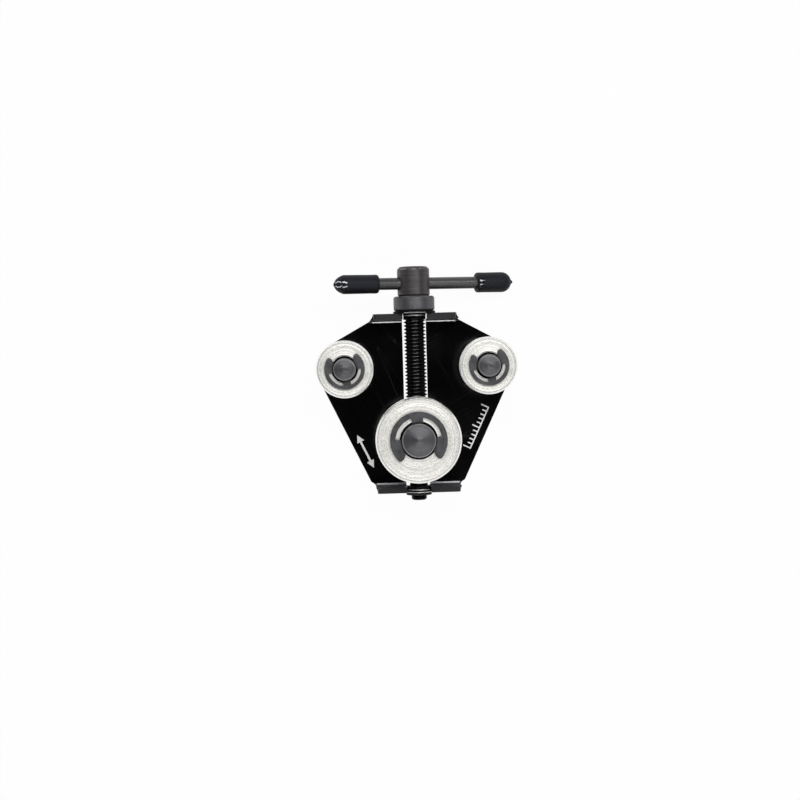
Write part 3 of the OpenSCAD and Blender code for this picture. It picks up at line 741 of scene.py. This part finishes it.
vinyl = Finish("dipped_vinyl", Specular_IOR_Level=0.24, Coat_Roughness=0.05, Coat_IOR=2.0)
spot = vinyl.spot()
ripple = vinyl.noise(spot, 2.6 * mm, 2.0)
speck = vinyl.noise(spot, 0.2 * mm, 2.0)
dot = {"operation": "DOT_PRODUCT"}
from_mouth = vinyl.node("VectorMath", dot, {0: spot, 1: bar_direction}).out("Value")
lower_side, upright = vinyl.facing()[1:]
wet = from_mouth.band(-13.5 * mm, -11.7 * mm, 0.2 * mm) + from_mouth.band(0.4 * mm, 2.3 * mm, 0.2 * mm)
wet = wet * upright.step(0.80, 0.90)
# Painted glint: a pale ring near the left tip.
from_glint, aside = from_mouth + glint_from_mouth * mm, vinyl.axes(spot)[1]
glint_ring = ((from_glint * from_glint + aside * aside) ** 0.5).band(0.76 * mm, 1.18 * mm, 0.10 * mm)
glint_ring = glint_ring * abs(aside).step(0.40 * mm, 0.60 * mm) * upright.step(0.30, 0.45)
navy = vinyl.mix(ripple, navy_dark, navy_light)
# Painted shade: the caps' low sides are near black.
navy = vinyl.mix(lower_side.step(-0.25, -0.80), navy, low_side_shade)
vinyl.set(Base_Color=vinyl.mix(glint_ring, navy, glint_pale), Coat_Weight=wet)
vinyl.set(Roughness=0.50 + 0.10 * speck - 0.30 * wet)
vinyl.relief(0.6 * ripple + 0.4 * speck, 0.012 * mm)


def grip_profile(length, outer, depth, fullness, nipple, nipple_length):
    """From the bore, round the mouth and along the outside to the tip; a fullness of 1 is a round dome."""
    bore = bar_radius + room
    dome = length - nipple_length - outer
    outside = []
    dome_steps = 14
    last = math.acos(nipple / outer) - 0.16 * fullness
    for step in range(dome_steps + 1):
        angle = last * step / dome_steps
        cone = outer + (outer * math.cos(last) - outer) * step / dome_steps
        outside.append((fullness * outer * math.cos(angle) + (1 - fullness) * cone,
                        dome + outer * math.sin(angle)))
    base = outside[-1][1]
    tip = [(nipple * math.cos(a), base + (length - base) * math.sin(a)) for a in (0.2, 0.5, 1.0, 1.4)]
    mouth = rounded([(0, depth), (bore, depth), (bore, 0.15), (bore + 0.3, 0), (outer - 0.15, 0),
                     (outer, 0.9), (outer - 0.06, 2.4), (outer - 0.02, 0.6 * dome), outside[0]], 0.45, 5)
    return mouth[:-1] + outside + tip + [(0, length)]


left_mouth, right_mouth = 13.1, 23.3
left_form = {"length": 16.0, "outer": 3.35, "fullness": 0.50, "nipple": 0.80, "nipple_length": 0.30}
right_form = {"length": 13.8, "outer": 3.6, "fullness": 1.0, "nipple": 0.80, "nipple_length": 0.75}
for side, way, mouth, bar_end, form in (("left", -1, left_mouth, -left_end, left_form),
                                        ("right", 1, right_mouth, right_end, right_form)):
    cap = turned(grip_profile(depth=bar_end - mouth + running_fit, **form), 96)
    start = bar_middle + way * mouth * bar_direction
    made_piece(f"{side}_vinyl_grip", leaning(cap, way), Matrix.Translation(start * mm),
               vinyl, "bar_body", f"{side}_grip")


# Table. A plain white top that the tool lies on, bright to the eye and to reflections.
# It takes no part in the tool, and the soft shadow stays on it.
table_white, table_size = (0.86, 0.86, 0.86, 1), 6.0
top = Finish("white_table", Base_Color=table_white, Roughness=0.7)
path = top.node("LightPath", {}, {})
seen = path.out("Is Camera Ray").math("MAXIMUM", path.out("Is Glossy Ray"))
seen = seen.math("MAXIMUM", path.out("Is Transmission Ray"))
white = top.node("Emission", {}, {"Color": (1, 1, 1, 1), "Strength": 1.0})
shown = top.node("MixShader", {}, {0: 0.97 * seen, 1: Shade(top, top.shader), 2: white})
top.plug(top.tree.nodes["Material Output"].inputs["Surface"], shown)
bpy.ops.mesh.primitive_plane_add(size=table_size)
table = bpy.context.object
table.name = "table_top"
dress(table, top)


# Light. Two wide soft lamps high above the tool, one before and one behind it, and a room that is
# white at the horizon and dim overhead.
def soft_lamp(name, place, size, radiance):
    data = bpy.data.lights.new(name, "AREA")
    data.shape = "RECTANGLE"
    data.size, data.size_y = size
    data.energy = radiance * math.pi * size[0] * size[1]
    lamp = bpy.data.objects.new(name, data)
    bpy.context.scene.collection.objects.link(lamp)
    lamp.location = place
    lamp.rotation_euler = (-Vector(place)).to_track_quat("-Z", "Y").to_euler()


lamp_size, lamp_aside, lamp_away, lamp_height = (0.85, 0.20), 0.06, 0.31, 0.61
soft_lamp("front_lamp", (lamp_aside, -lamp_away, lamp_height), lamp_size, 3.5)
soft_lamp("back_lamp", (lamp_aside, lamp_away, lamp_height), lamp_size, 6.0)

white_room = bpy.data.worlds.new("white_room")
white_room.use_nodes = True
bpy.context.scene.world = white_room
sky = NodeTree(white_room.node_tree)
upward = sky.node("SeparateXYZ", {}, {0: sky.node("TexCoord", {}, {}).out("Generated")}).out("Z")
fade = {"From Min": 0.05, "From Max": 0.45, "To Min": 1.0, "To Max": 0.01}
background = sky.tree.nodes["Background"]
sky.plug(background.inputs["Strength"], sky.node("MapRange", {}, {"Value": upward, **fade}))
sky.plug(background.inputs["Color"], (1, 1, 1, 1))


# Camera. Straight above the tool, a little over half a metre up, tilted a degree or two off the
# vertical and turned by as much in its frame.
picture, focal = 800, 1674.0
eye = Vector((-17.25, 10.40, 604.56))
below = Vector((366.63, 355.38))
roll = math.radians(1.60)
right = Vector((math.cos(roll), -math.sin(roll), 0))
up = Vector((math.sin(roll), math.cos(roll), 0))
gaze = (picture / 2 - below.x) * right - (picture / 2 - below.y) * up - focal * Vector((0, 0, 1))
gaze.normalize()
sideways = gaze.cross(up).normalized()
upright = sideways.cross(gaze)
lens = bpy.data.cameras.new("overhead_camera")
lens.sensor_width = 36.0
lens.lens = focal * lens.sensor_width / picture
lens.clip_start = 0.01
camera = bpy.data.objects.new("overhead_camera", lens)
bpy.context.scene.collection.objects.link(camera)
aim = Matrix((sideways, upright, -gaze)).transposed().to_4x4()
camera.matrix_world = Matrix.Translation(eye * mm) @ aim
bpy.context.scene.camera = camera
bpy.context.scene.view_settings.view_transform = "Standard"
